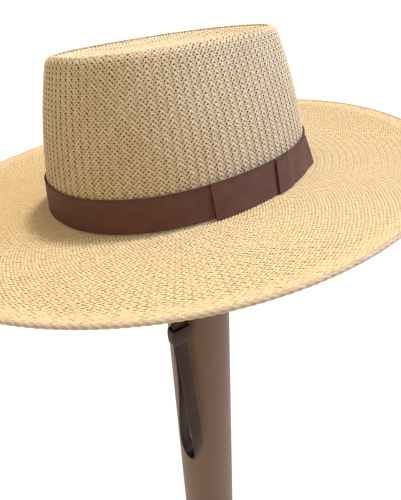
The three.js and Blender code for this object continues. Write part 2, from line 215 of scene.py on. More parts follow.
# %% [markdown]
# Strap leather is cut with a blade and its edges are rubbed round, so the section is a flat oblong
# with soft corners and a top that swells very slightly.

# %% Carry the leather's section along the route
def oblong(width, height, corner, steps=3):
    outline = []
    for sx, sy, start in ((1, 1, 0), (-1, 1, 90), (-1, -1, 180), (1, -1, 270)):
        for k in range(steps + 1):
            turn = math.radians(start + 90 * k / steps)
            outline.append((sx * (width / 2 - corner) + corner * math.cos(turn),
                            sy * (height / 2 - corner) + corner * math.sin(turn)))
    return outline


strap_line, strap_way = smooth_route(strap_route)
strap_frames, strap_centre, strap_length = even_stations(strap_line, strap_way, 2.2)
bm = bmesh.new()
strap_outline = [(x * MM, y * MM) for x, y in oblong(strap_width, strap_thickness, 0.8)]
carry_section(bm, strap_outline, strap_frames)
chin_strap = piece_from_mesh("strap_leather", mesh_from_bmesh(bm), ["chin_strap"])
print("strap length", round(strap_length, 1), "mm")

# %% [markdown]
# ## Slide
# The slide is a short wrap of the same leather round both runs of the strap, which holds them
# together. It is a sleeve, so its wall is carried round a rounded oblong as a short thick section:
# the outline is swept up the slide's height, swelling a little in the middle, and back down inside.

# %% Wrap the slide
slide_centre = Vector((19.5, -34.5, 464.5))
slide_height, slide_leather, slide_room, slide_spread = 15.0, 2.2, 0.8, 1.5
slide_half_x = strap_thickness + slide_spread
slide_half_y = strap_width / 2 + slide_room
# share of the height, then how far out of the wall's inner face, as a share of its thickness
slide_profile = [(-0.5, 0.25), (-0.49, 0.55), (-0.45, 0.78), (-0.36, 0.94), (-0.2, 1.05), (0.0, 1.1),
                 (0.2, 1.05), (0.36, 0.94), (0.45, 0.78), (0.49, 0.55), (0.5, 0.25), (0.46, 0.0),
                 (0.2, 0.0), (0.0, 0.0), (-0.2, 0.0), (-0.46, 0.0)]


def slide_ring(bm, share, out):
    grow = out * slide_leather
    corner = 0.5 + grow * 1.25
    outline = oblong(2 * (slide_half_x + grow), 2 * (slide_half_y + grow), corner, 5)
    verts = [bm.verts.new(Vector((x, y, share * slide_height)) + slide_centre) for x, y in outline]
    return [bm.edges.new((verts[i], verts[(i + 1) % len(verts)])) for i in range(len(verts))]


bm = bmesh.new()
slide_rings = [slide_ring(bm, share, out) for share, out in slide_profile]
for ring, following in zip(slide_rings, slide_rings[1:] + slide_rings[:1]):
    bmesh.ops.bridge_loops(bm, edges=ring + following)
bmesh.ops.recalc_face_normals(bm, faces=bm.faces[:])
bmesh.ops.scale(bm, vec=(MM, MM, MM), verts=bm.verts[:])
strap_slide = piece_from_mesh("slide_leather", mesh_from_bmesh(bm), ["strap_slide"])

# %% [markdown]
# The strap leaves the crown at the route's first point and goes back into it at the last, so its
# far end is the hat itself.

# %% [markdown]
# ## The hat's own frame
# The hat leans a little on the post. Its pieces are shaped upright, with z = 0 on the brim at the
# crown's foot, and this matrix then sets them on the post.

# %% Where the hat sits
hat_seat = (Matrix.Translation((-5.447, -3.323, 587.46))
            @ Matrix.Rotation(math.radians(3.8), 4, "X")
            @ Matrix.Rotation(math.radians(-1.95), 4, "Y"))
hat_turn = np.array(hat_seat.to_3x3())
hat_place = np.array(hat_seat.translation)


def seat_hat(table):
    return (table @ hat_turn.T + hat_place) * MM

# %% [markdown]
# ## The block
# A hat gets its form from a wooden block. Here the block is a set of rings: each is a superellipse,
# slightly squarer than an ellipse, at a height, with the tip's slope and the brim's lift added. A
# ring is a row of seven numbers, so one function places any point of the crown or of the brim.

# %% Rings of the block
def outline_xy(ring, angle):
    c, s = np.cos(angle), np.sin(angle)
    power = 2 / ring["squareness"]
    return (ring["half_width"] * np.sign(c) * np.abs(c) ** power,
            ring["half_length"] * np.sign(s) * np.abs(s) ** power)


def side_ring(height):
    share = height / crown_height
    belly = wall_bulge * 4 * share * (1 - share)
    return {"half_width": crown_half_width + (tip_half_width - crown_half_width) * share + belly,
            "half_length": crown_half_length + (tip_half_length - crown_half_length) * share + belly,
            "squareness": crown_squareness + (tip_squareness - crown_squareness) * share,
            "back": tip_shift_back * share, "height": height, "slope": share, "lift": 0.0}


def brim_ring(out):
    share = out / brim_width
    return {"half_width": crown_half_width + out, "half_length": crown_half_length + out,
            "squareness": crown_squareness + (2 - crown_squareness) * share,
            "back": 0.0, "height": 0.0, "slope": 0.0, "lift": share ** brim_lift_power}


def ring_points(ring, angle):
    x, y = outline_xy(ring, angle)
    tip_slope = tip_rise_left * x / tip_half_width - tip_rise_front * y / tip_half_length
    edge_lift = brim_side_lift + (brim_end_lift - brim_side_lift) * np.sin(angle) ** 2
    z = ring["height"] + ring["slope"] * tip_slope + ring["lift"] * edge_lift
    return np.column_stack([x, y + ring["back"], z])

# %% [markdown]
# Over the crown's rounded corner the rings follow a quarter turn, and then run a little way in over
# the sunken tip. The tip's dish is read from a short table of reach and sink.

# %% Rings over the corner and on the tip
dish_reach = np.array([0, 0.35, 0.66, 0.82, 0.92, 1.0])
dish_sink = np.array([1, 1, 0.96, 0.72, 0.26, 0.0])
corner_run = tip_corner_radius * math.pi / 2
flat_half_width = tip_half_width - tip_corner_radius


def dish_depth(reach):
    fine = np.linspace(0, 1.2, 241)
    depth = np.interp(fine, dish_reach, dish_sink)
    depth = np.convolve(np.pad(depth, 9, mode="edge"), np.ones(19) / 19, mode="valid")
    return tip_sink * np.interp(reach, fine, depth)


def crown_ring(run):
    wall_end = crown_height - tip_corner_radius
    if run <= wall_end:
        return side_ring(run)
    turn = min((run - wall_end) / tip_corner_radius, math.pi / 2)
    inset = tip_corner_radius * (1 - math.cos(turn))
    drop = tip_corner_radius * (1 - math.sin(turn))
    ring = side_ring(crown_height - drop)
    past = max(run - wall_end - corner_run, 0.0)
    ring["half_width"] -= inset + past
    ring["half_length"] -= inset + past
    ring["height"] -= float(dish_depth(1 - past / flat_half_width)) if past else 0.0
    return ring


print("crown run from foot over the corner", round(crown_height - tip_corner_radius + corner_run, 1))

# %% [markdown]
# ## Blocking the plait
# Straws are plaited flat and then pressed over the block. The same is done here: a flat sheet is
# modelled first, where x counts straws round the hat, y counts rows and z is the height above the
# block. Each row is then laid on its ring, evenly by length, and lifted along the block's normal.

# %% Press a flat sheet on the block
def press_on_block(flat, rings, straws, outward):
    samples = np.linspace(0, 2 * math.pi, 1441)
    rows = []
    for ring in rings:
        points = ring_points(ring, samples)
        run = np.concatenate([[0], np.cumsum(np.linalg.norm(np.diff(points, axis=0), axis=1))])
        even = np.linspace(0, run[-1], 721)
        rows.append(np.column_stack([np.interp(even, run, points[:, k]) for k in range(3)])[:-1])
    block = np.array(rows)
    round_way = np.roll(block, -1, axis=1) - np.roll(block, 1, axis=1)
    normal = np.cross(round_way, np.gradient(block, axis=0)) * outward
    normal /= np.linalg.norm(normal, axis=2)[:, :, None]
    row = np.rint(flat[:, 1]).astype(int)
    place = (flat[:, 0] / straws % 1.0) * 720
    left = np.floor(place).astype(int) % 720
    part = (place - np.floor(place))[:, None]
    right = (left + 1) % 720
    point = block[row, left] * (1 - part) + block[row, right] * part
    lift = normal[row, left] * (1 - part) + normal[row, right] * part
    return point + lift * flat[:, 2:3]

# %% [markdown]
# ## One straw
# Each straw runs slantwise, over two others and under the next two. That is the herringbone that
# shows on the crown. Its section is a low ridge with a flat back. One straw is modelled, with its
# waves, and an Array modifier lays the rest beside it, as the plaiter does.

# %% A flat plait of slanting straws
crown_relief = {"rise": 0.45, "over": -0.45, "under": -1.05, "width": 0.76}
brim_relief = {"rise": 0.3, "over": -0.3, "under": -0.66, "width": 0.78}


def add_straw(bm, rows, lean, start, phase, relief):
    half = relief["width"] / 2
    outline = [(-half, 0.0), (half, 0.0), (0.0, relief["rise"])]
    stations = []
    for row in range(rows):
        level = relief["over"] if (row + phase) % 4 < 2 else relief["under"]
        place = Matrix(((1, 0, 0, start + lean * row / 2), (0, 0, 1, row), (0, 1, 0, level),
                        (0, 0, 0, 1)))
        stations.append(place)
    carry_section(bm, outline, stations)


def flat_plait(rows, lean, straws, phases, relief):
    bm = bmesh.new()
    for start, phase in enumerate(phases):
        add_straw(bm, rows, lean, start, phase, relief)
    sharpen(bm, 100)
    holder = bpy.data.objects.new("plait_work", mesh_from_bmesh(bm))
    scene.collection.objects.link(holder)
    array = holder.modifiers.new("straws", "ARRAY")
    array.use_relative_offset = False
    array.use_constant_offset = True
    array.constant_offset_displace = (len(phases), 0, 0)
    array.count = straws // len(phases)
    dg = bpy.context.evaluated_depsgraph_get()
    mesh = bpy.data.meshes.new_from_object(holder.evaluated_get(dg))
    bpy.data.objects.remove(holder)
    return mesh

# %% [markdown]
# The straw's material needs to know where it is on each straw: how far across, how far along, and
# which straw. That is kept as one named attribute, so the colour follows the plait round the hat.

# %% Note each straw's own coordinates
def note_straws(mesh, flat, lean, width, row_step, seed):
    number = np.rint(flat[:, 0] - lean * flat[:, 1] / 2)
    across = (flat[:, 0] - lean * flat[:, 1] / 2 - number) / (width / 2)
    number = (number - number.min()).astype(int)
    shade = np.random.default_rng(seed).random(number.max() + 1)[number]
    notes = np.column_stack([across, flat[:, 1] * row_step, shade])
    layer = mesh.attributes.new("straw_place", "FLOAT_VECTOR", "POINT")
    layer.data.foreach_set("vector", notes.astype(np.float32).ravel())
    return number, across

# %% [markdown]
# No plaiter lays every straw alike: each drifts a little to one side and back, and is a little wider
# or narrower than the next. So the gaps between them open and close, which is what gives the real
# plait its uneven scatter of small dark holes. Two slow waves with a straw's own phases do that. Close
# rows are the last ones on the brim, where the plait is beaten tight and flat for the rolled edge.

# %% Uneven straws
def loosen_straws(flat, number, across, relief, drift, seed, close_rows=0):
    draw = np.random.default_rng(seed)
    phases = draw.random((number.max() + 1, 2))[number] * 2 * math.pi
    swell = draw.uniform(-0.09, 0.09, number.max() + 1)[number]
    if close_rows:
        closed = np.clip((flat[:, 1] - flat[:, 1].max() + close_rows) / 5, 0, 1)
        swell = swell + 0.3 * closed
        flat[:, 2] *= 1 - 0.35 * closed
    wander = np.sin(flat[:, 1] / 3.1 + phases[:, 0]) + np.sin(flat[:, 1] / 1.7 + phases[:, 1])
    flat[:, 0] += drift * wander / 2 + across * relief["width"] / 2 * swell
    return flat

# %% [markdown]
# ## Side of the crown
# 180 straws lean each way round the side, 2.8 mm apart at the middle. On the crown the floats stand
# in upright columns, so every second straw starts two rows later than its neighbour.

# %% Plait the side
def plaited_mesh(rings, straws, row_step, outward, phases, lean, relief, drift, seed, close_rows=0):
    mesh = flat_plait(len(rings), lean, straws, phases, relief)
    flat = vertex_table(mesh)
    number, across = note_straws(mesh, flat, lean, relief["width"], row_step, seed)
    flat = loosen_straws(flat, number, across, relief, drift, seed + 100, close_rows)
    place_vertices(mesh, seat_hat(press_on_block(flat, rings, straws, outward)))
    return mesh


def join_meshes(meshes):
    bm = bmesh.new()
    for mesh in meshes:
        bm.from_mesh(mesh)
        bpy.data.meshes.remove(mesh)
    bmesh.ops.recalc_face_normals(bm, faces=bm.faces[:])
    return mesh_from_bmesh(bm)


side_straws, side_row, side_start = 180, 1.4, 4.0
crown_end = crown_height - tip_corner_radius + corner_run
side_rings = [crown_ring(run) for run in np.arange(side_start, crown_end + 2.4, side_row)]
side_meshes = [plaited_mesh(side_rings, side_straws, side_row, 1, phases, lean, crown_relief, 0.1, seed)
               for lean, phases, seed in ((1, (0, 2), 12), (-1, (2, 0), 10))]
crown_side = piece_from_mesh("crown_side_plait", join_meshes(side_meshes), ["straw_side"])

# %% [markdown]
# Behind every gap of a close plait lies the next straw's back, in deep shade. Modelling a second set
# of straws there would double the mesh for a few dark dots, so the inner face is one thin wall under
# the plait, 0.35 mm thick, whose dark colour is painted shade, and the plait's look on its inner side
# is left to its finish.

# %% The plait's inner face
inner_face_depth, inner_face_thickness = 1.5, 0.35


def inner_face_mesh(rings, outward, around=192):
    bm = bmesh.new()
    bmesh.ops.create_grid(bm, x_segments=around, y_segments=len(rings) - 1, size=0.5)
    mesh = mesh_from_bmesh(bm)
    flat = (vertex_table(mesh) + 0.5) * (around, len(rings) - 1, 0)
    flat[:, 2] = -inner_face_depth
    place_vertices(mesh, seat_hat(press_on_block(flat, rings, around, outward)))
    bm = bmesh.new()
    bm.from_mesh(mesh)
    bpy.data.meshes.remove(mesh)
    bmesh.ops.remove_doubles(bm, verts=bm.verts[:], dist=0.00002)
    bmesh.ops.recalc_face_normals(bm, faces=bm.faces[:])
    bmesh.ops.solidify(bm, geom=bm.faces[:], thickness=inner_face_thickness * MM)
    bmesh.ops.recalc_face_normals(bm, faces=bm.faces[:])
    return mesh_from_bmesh(bm)


side_inner = piece_from_mesh(
    "crown_side_inner", inner_face_mesh([crown_ring(run) for run in np.linspace(0.0, crown_end, 25)], 1),
    ["straw_side"])

# %% [markdown]
# ## Tip of the crown
# The tip is plaited square, with the straws on the two diagonals, and is pressed into a shallow dish
# inside the crown's rim. A sheet larger than the tip is cut to the outline, and its cut ends lie
# under the side's plait where that turns in over the rim.

# %% Plait the tip
def tip_height(x, y):
    reach = (np.abs(x / flat_half_width) ** tip_squareness
             + np.abs(y / (tip_half_length - tip_corner_radius)) ** tip_squareness) ** (1 / tip_squareness)
    slope = tip_rise_left * x / tip_half_width - tip_rise_front * y / tip_half_length
    return reach, crown_height - dish_depth(np.minimum(reach, 1.1)) + slope


def tip_mesh(pitch=1.95, count=80):
    meshes = []
    for lean in (1, -1):
        phases = (0, 1, 2, 3) if lean > 0 else (2, 3, 0, 1)
        mesh = flat_plait(2 * count, 0, 2 * count, phases, crown_relief)
        flat = vertex_table(mesh)
        number, across = note_straws(mesh, flat, 0, crown_relief["width"], pitch, 31 + lean)
        flat = loosen_straws(flat, number, across, crown_relief, 0.08, 131 + lean)
        u = (flat[:, 0] - count) * pitch
        v = (flat[:, 1] - count) * pitch
        x, y = (u + v) / math.sqrt(2), lean * (v - u) / math.sqrt(2)
        reach, z = tip_height(x, y)
        place_vertices(mesh, np.column_stack([x, y + tip_shift_back, z + flat[:, 2] - 0.5]))
        bm = bmesh.new()
        bm.from_mesh(mesh)
        middles = np.array([f.calc_center_median()[:2] for f in bm.faces])
        reach = tip_height(middles[:, 0], middles[:, 1] - tip_shift_back)[0]
        outside = [f for f, r in zip(bm.faces, reach) if r > 1.02]
        bmesh.ops.delete(bm, geom=outside, context="FACES")
        bmesh.ops.holes_fill(bm, edges=[e for e in bm.edges if e.is_boundary], sides=8)
        bm.to_mesh(mesh)
        bm.free()
        place_vertices(mesh, seat_hat(vertex_table(mesh)))
        meshes.append(mesh)
    return meshes


crown_tip = piece_from_mesh("crown_tip_plait", join_meshes(tip_mesh()), ["straw_tip"])

# %% The tip's inner face
def tip_inner_mesh(reaches=24, around=96):
    bm = bmesh.new()
    bmesh.ops.create_grid(bm, x_segments=around, y_segments=reaches, size=0.5)
    mesh = mesh_from_bmesh(bm)
    flat = vertex_table(mesh) + 0.5
    angle, share = flat[:, 0] * 2 * math.pi, flat[:, 1] * 1.01
    ring = {"half_width": flat_half_width, "half_length": tip_half_length - tip_corner_radius,
            "squareness": tip_squareness}
    x, y = outline_xy(ring, angle)
    z = tip_height(x * share, y * share)[1] - inner_face_depth
    place_vertices(mesh, seat_hat(np.column_stack([x * share, y * share + tip_shift_back, z])))
    bm = bmesh.new()
    bm.from_mesh(mesh)
    bpy.data.meshes.remove(mesh)
    bmesh.ops.remove_doubles(bm, verts=bm.verts[:], dist=0.00002)
    bmesh.ops.recalc_face_normals(bm, faces=bm.faces[:])
    bmesh.ops.solidify(bm, geom=bm.faces[:], thickness=inner_face_thickness * MM)
    bmesh.ops.recalc_face_normals(bm, faces=bm.faces[:])
    return mesh_from_bmesh(bm)


tip_inner = piece_from_mesh("crown_tip_inner", tip_inner_mesh(), ["straw_tip"])

# %% [markdown]
# ## Brim
# On the brim the straws keep their width while the ring that they fill gets longer, so they turn
# further and further from the radius: about 35 degrees at the crown, over 60 at the edge. The step
# between rows follows from that, and here the floats lie in rounds instead of columns. The two ways
# that the straws lean are two pieces, to keep each of them light.

# %% Rows of the brim
brim_straws, brim_pitch = 250, 1.9
mean_half_size = (crown_half_width + crown_half_length) / 2
turn_run = brim_turn_radius * math.pi / 2


def brim_run_ring(run):
    if run < 0:
        return side_ring(brim_turn_radius - run)
    if run >= turn_run:
        return brim_ring(brim_turn_radius + run - turn_run)
    angle = run / brim_turn_radius
    ring = side_ring(brim_turn_radius * (1 - math.sin(angle)))
    out = brim_turn_radius * (1 - math.cos(angle))
    ring["half_width"] += out
    ring["half_length"] += out
    return ring


brim_runs = [-1.4]
woven_brim_run = turn_run - brim_turn_radius + brim_width - edge_roll_thickness + 0.9
while brim_runs[-1] < woven_brim_run:
    radius = mean_half_size + max(brim_runs[-1], 0)
    spacing = 2 * math.pi / brim_straws * radius
    lean_tangent = math.sqrt(max((spacing / brim_pitch) ** 2 - 1, 0.2))
    brim_runs.append(brim_runs[-1] + spacing / 2 / lean_tangent)
brim_rings = [brim_run_ring(run) for run in brim_runs[:-1]]
print(len(brim_rings), "rows on the brim")

# %% Plait the brim
for lean, phase, name in ((1, 0, "brim_plait_left"), (-1, 2, "brim_plait_right")):
    mesh = plaited_mesh(brim_rings, brim_straws, 1.3, -1, (phase,), lean, brim_relief, 0.14, 51 + lean, 11)
    piece = piece_from_mesh(name, join_meshes([mesh]), ["straw_brim"])
brim_inner_rings = [brim_run_ring(run) for run in np.linspace(-1.4, brim_runs[-2], 30)]
brim_underside = piece_from_mesh("brim_underside", inner_face_mesh(brim_inner_rings, -1), ["straw_brim"])

# %% [markdown]
# ## Rolled edge
# The straw ends are turned over the brim's edge and wrapped down, which leaves a roll with a rope's
# slanting creases. A flat strip is rolled round the edge line: its width goes once round the roll,
# and its surface dips at each crease.

# %% Roll the edge
roll_wraps, roll_lean = 252, 3
roll_radius = edge_roll_thickness / 2


def edge_roll_mesh(steps=roll_wraps * 8, around=14):
    bm = bmesh.new()
    bmesh.ops.create_grid(bm, x_segments=steps, y_segments=around, size=0.5)
    mesh = mesh_from_bmesh(bm)
    flat = vertex_table(mesh) + 0.5
    ring = brim_ring(brim_width - roll_radius)
    samples = np.linspace(0, 2 * math.pi, 1441)
    points = ring_points(ring, samples)
    run = np.concatenate([[0], np.cumsum(np.linalg.norm(np.diff(points, axis=0), axis=1))])
    angle = np.interp(flat[:, 0] * run[-1], run, samples)
    centre = ring_points(ring, angle)
    ahead = ring_points(ring, angle + 0.001) - ring_points(ring, angle - 0.001)
    away = np.column_stack([ahead[:, 1], -ahead[:, 0]])
    away /= np.linalg.norm(away, axis=1)[:, None]
    wrap = flat[:, 0] * roll_wraps + flat[:, 1] * roll_lean
    crest = np.abs(np.cos(math.pi * wrap)) ** 0.45
    radius = roll_radius * (0.6 + 0.4 * crest)
    turn = flat[:, 1] * 2 * math.pi
    table = np.column_stack([centre[:, 0] + away[:, 0] * radius * np.cos(turn),
                             centre[:, 1] + away[:, 1] * radius * np.cos(turn),
                             centre[:, 2] - 1.0 + radius * np.sin(turn)])
    place_vertices(mesh, seat_hat(table))
    # The across note runs from one crease to the next, so the straw finish paints shade into every crease.
    shade = np.random.default_rng(5).random(roll_wraps + roll_lean + 2)
    notes = np.column_stack([2 * (wrap - np.rint(wrap)), flat[:, 1] * 14, shade[np.rint(wrap).astype(int)]])
    layer = mesh.attributes.new("straw_place", "FLOAT_VECTOR", "POINT")
    layer.data.foreach_set("vector", notes.astype(np.float32).ravel())
    bm = bmesh.new()
    bm.from_mesh(mesh)
    bmesh.ops.remove_doubles(bm, verts=bm.verts[:], dist=0.00002)
    bmesh.ops.recalc_face_normals(bm, faces=bm.faces[:])
    bpy.data.meshes.remove(mesh)
    return mesh_from_bmesh(bm)


brim_edge_roll = piece_from_mesh("brim_edge_roll", edge_roll_mesh(), ["brim_edge"])

# %% [markdown]
# ## Ribbon and bow
# The ribbon is 20 mm wide, with ribs across it and a firmer selvedge along both edges. The band goes
# once round the crown's foot. The bow is flat: one layer lies over the band, its cut front edge shows
# as a line, and a second layer over it ends in a slanted free end that stands off a little. All three
# are one strip of cloth, bent round the block like the source's own solids.

# %% A ribbon bent round the crown's side
def on_side(angle, height, out):
    table = np.empty((len(angle), 3))
    for level in np.unique(np.round(height, 4)):
        chosen = np.abs(height - level) < 1e-3
        ring = side_ring(level)
        points = ring_points(ring, angle[chosen])
        c, s = np.cos(angle[chosen]), np.sin(angle[chosen])
        power = 2 - 2 / ring["squareness"]
        away = np.column_stack([np.sign(c) * np.abs(c) ** power / ring["half_width"],
                                np.sign(s) * np.abs(s) ** power / ring["half_length"]])
        away /= np.linalg.norm(away, axis=1)[:, None]
        points[:, :2] += away * out[chosen][:, None]
        table[chosen] = points
    return table


def ribbon_strip(steps, rows=12, thickness=0.95):
    bm = bmesh.new()
    bmesh.ops.create_grid(bm, x_segments=steps, y_segments=rows, size=0.5)
    bmesh.ops.translate(bm, vec=(0.5, 0.5, 0), verts=bm.verts[:])
    for vert in bm.verts:
        vert.co.z = 0.22 if min(vert.co.y, 1 - vert.co.y) < 0.06 else 0.0
    bmesh.ops.solidify(bm, geom=bm.faces[:], thickness=thickness)
    bmesh.ops.recalc_face_normals(bm, faces=bm.faces[:])
    sharpen(bm, 50)
    return bm


def note_ribbon(mesh, along, up):
    layer = mesh.uv_layers.new(name="ribbon_place")
    corner_verts = np.empty(len(mesh.loops), dtype=np.int32)
    mesh.loops.foreach_get("vertex_index", corner_verts)
    table = np.column_stack([along[corner_verts], up[corner_verts]])
    layer.data.foreach_set("uv", table.astype(np.float32).ravel())

# %% Band
def band_mesh():
    bm = ribbon_strip(256)
    mesh = mesh_from_bmesh(bm)
    flat = vertex_table(mesh)
    low = flat[:, 2].min()
    angle = flat[:, 0] * 2 * math.pi
    table = on_side(angle, band_foot + flat[:, 1] * band_height, fit_gap + flat[:, 2] - low)
    note_ribbon(mesh, flat[:, 0] * 590, flat[:, 1] * band_height)
    place_vertices(mesh, seat_hat(table))
    bm = bmesh.new()
    bm.from_mesh(mesh)
    bmesh.ops.remove_doubles(bm, verts=bm.verts[:], dist=0.00001)
    bpy.data.meshes.remove(mesh)
    return mesh_from_bmesh(bm)


hat_band = piece_from_mesh("ribbon_band", band_mesh(), ["hat_band"])

# %% [markdown]
# Along each bow layer a short table says how many ribbons lie under it and how far its lower edge
# flares, just as the cloth is pinned: it climbs over the fold, drops to the band and lifts at its end.

# %% Bow layers
bow_split, bow_lap, bow_slant, bow_overhang = 8.5, 5.0, 4.5, 0.7
fold_rows = [(0, 1, 0), (1, 1, 0)]
end_rows = [(0, 2, 0), (0.2, 2, 0), (0.35, 1.15, 0.2), (0.8, 1.15, 0.4), (1, 1.4, 2.2)]


def bow_layer_mesh(from_angle, to_angle, slant, rows):
    mesh = mesh_from_bmesh(ribbon_strip(48))
    flat = vertex_table(mesh)
    along, up, deep = flat[:, 0], flat[:, 1], flat[:, 2] - flat[:, 2].min()
    table = np.array(rows, dtype=float)
    lie = np.interp(along, table[:, 0], table[:, 1])
    flare = np.interp(along, table[:, 0], table[:, 2])
    turn = from_angle + (to_angle - slant * up * along - from_angle) * along
    height = band_foot - bow_overhang + up * (band_height + 2 * bow_overhang)
    out = fit_gap + lie * (ribbon_thickness + fit_gap) + flare * ribbon_thickness * (1 - up) + deep
    note_ribbon(mesh, turn * 1.6, up * band_height)
    place_vertices(mesh, seat_hat(on_side(np.radians(turn), height, out)))
    return mesh


bow_fold = piece_from_mesh(
    "bow_lower_layer", bow_layer_mesh(-17.5, bow_split + bow_lap, 0, fold_rows), ["bow_fold"])
bow_end = piece_from_mesh(
    "bow_upper_layer", bow_layer_mesh(bow_split, 42, bow_slant, end_rows), ["bow_end"])

# %% [markdown]
# ## Stand
# The post and its foot are turned work, so each is a profile spun once round the post's line.

# %% Turn the post and the foot
base_radius, base_thickness, base_edge_radius = 90.0, 14.0, 4.0
post_radius, post_length, dome_radius, shoulder_radius = 28.0, 660.0, 60.0, 3.0


def arc(cx, cy, radius, start, end, steps):
    turns = np.radians(np.linspace(start, end, steps + 1))
    return [(cx + radius * math.cos(t), cy + radius * math.sin(t)) for t in turns]


def turned_mesh(profile, segments=128):
    bm = bmesh.new()
    verts = [bm.verts.new((x * MM, 0, z * MM)) for x, z in profile]
    edges = [bm.edges.new(pair) for pair in zip(verts, verts[1:])]
    bmesh.ops.spin(bm, geom=verts + edges, cent=(0, 0, 0), axis=(0, 0, 1), angle=2 * math.pi,
                   steps=segments, use_merge=True)
    bmesh.ops.remove_doubles(bm, verts=bm.verts[:], dist=1e-6)
    bmesh.ops.recalc_face_normals(bm, faces=bm.faces[:])
    sharpen(bm, 40)
    return mesh_from_bmesh(bm)


foot_profile = [(0, 0), (base_radius - 0.6, 0), (base_radius, 0.6),
                *arc(base_radius - base_edge_radius, base_thickness - base_edge_radius,
                     base_edge_radius, 0, 90, 8), (post_radius + 6, base_thickness), (0, base_thickness)]
stand_foot = piece_from_mesh("stand_foot", turned_mesh(foot_profile), ["stand_base"])

post_foot = base_thickness + fit_gap
post_top = post_foot + post_length
cap_half_width = post_radius - shoulder_radius
cap_angle = math.degrees(math.acos(cap_half_width / dome_radius))
cap_drop = dome_radius * (1 - math.sin(math.radians(cap_angle)))
shoulder_height = post_top - cap_drop - shoulder_radius
post_profile = [(0, post_foot), (post_radius, post_foot),
                *[(post_radius, z) for z in np.linspace(post_foot + 40, shoulder_height - 40, 8)],
                *arc(cap_half_width, shoulder_height, shoulder_radius, 0, 90, 8),
                *arc(0, post_top - dome_radius, dome_radius, cap_angle, 90, 10)[1:]]
stand_post = piece_from_mesh("stand_post_turned", turned_mesh(post_profile), ["stand_post"])

# %% [markdown]
# ## Finishes
# Every finish is a Principled shader whose colour, roughness and bump change over the surface. What
# more than one finish needs is a shader node group, made once. The first is a grain: noise stretched
# along a direction, which gives straw its fibres, leather its pores and lacquer its faint streaks.

# %% Helpers for shader nodes
def new_finish(name, roughness, specular=0.5):
    material = bpy.data.materials.new(name)
    material.use_nodes = True
    shader = material.node_tree.nodes["Principled BSDF"]
    shader.inputs["Roughness"].default_value = roughness
    shader.inputs["Specular IOR Level"].default_value = specular
    return material, material.node_tree, shader


def add_node(tree, kind, **values):
    node = tree.nodes.new(kind)
    for key, value in values.items():
        if key in node.inputs:
            node.inputs[key].default_value = value
        else:
            setattr(node, key, value)
    return node


def add_math(tree, operation, first, second=None):
    node = tree.nodes.new("ShaderNodeMath")
    node.operation = operation
    for socket, value in zip(node.inputs, (first, second)):
        if value is None:
            continue
        if isinstance(value, (int, float)):
            socket.default_value = value
        else:
            tree.links.new(value, socket)
    return node.outputs[0]


def add_mix(tree, amount, first, second):
    node = tree.nodes.new("ShaderNodeMix")
    node.data_type = "RGBA"
    for index, value in ((0, amount), (6, first), (7, second)):
        if isinstance(value, (int, float)):
            node.inputs[index].default_value = value
        elif isinstance(value, tuple):
            node.inputs[index].default_value = (*value, 1.0)
        else:
            tree.links.new(value, node.inputs[index])
    return node.outputs[2]


def linear(red, green, blue):
    return tuple(((v / 255 + 0.055) / 1.055) ** 2.4 if v > 10 else v / 3295 for v in (red, green, blue))

# %% Grain group
grain_group = bpy.data.node_groups.new("fibre_grain", "ShaderNodeTree")
for name, kind, default in (("Vector", "NodeSocketVector", None), ("Fine", "NodeSocketFloat", 6.0),
                            ("Broad", "NodeSocketFloat", 0.8)):
    socket = grain_group.interface.new_socket(name, in_out="INPUT", socket_type=kind)
    if default is not None:
        socket.default_value = default
for name in ("Fine grain", "Broad patches"):
    grain_group.interface.new_socket(name, in_out="OUTPUT", socket_type="NodeSocketFloat")
group_in = grain_group.nodes.new("NodeGroupInput")
group_out = grain_group.nodes.new("NodeGroupOutput")
for name, detail, output in (("Fine", 4.0, "Fine grain"), ("Broad", 2.0, "Broad patches")):
    noise = add_node(grain_group, "ShaderNodeTexNoise", Detail=detail, Roughness=0.6)
    grain_group.links.new(group_in.outputs["Vector"], noise.inputs["Vector"])
    grain_group.links.new(group_in.outputs[name], noise.inputs["Scale"])
    grain_group.links.new(noise.outputs["Fac"], group_out.inputs[output])


def add_grain(tree, vector, fine, broad):
    node = tree.nodes.new("ShaderNodeGroup")
    node.node_tree = grain_group
    node.inputs["Fine"].default_value = fine
    node.inputs["Broad"].default_value = broad
    tree.links.new(vector, node.inputs["Vector"])
    return node.outputs["Fine grain"], node.outputs["Broad patches"]


def add_bump(tree, shader, height, strength, distance):
    bump = add_node(tree, "ShaderNodeBump", Strength=strength, Distance=distance)
    tree.links.new(height, bump.inputs["Height"])
    tree.links.new(bump.outputs["Normal"], shader.inputs["Normal"])
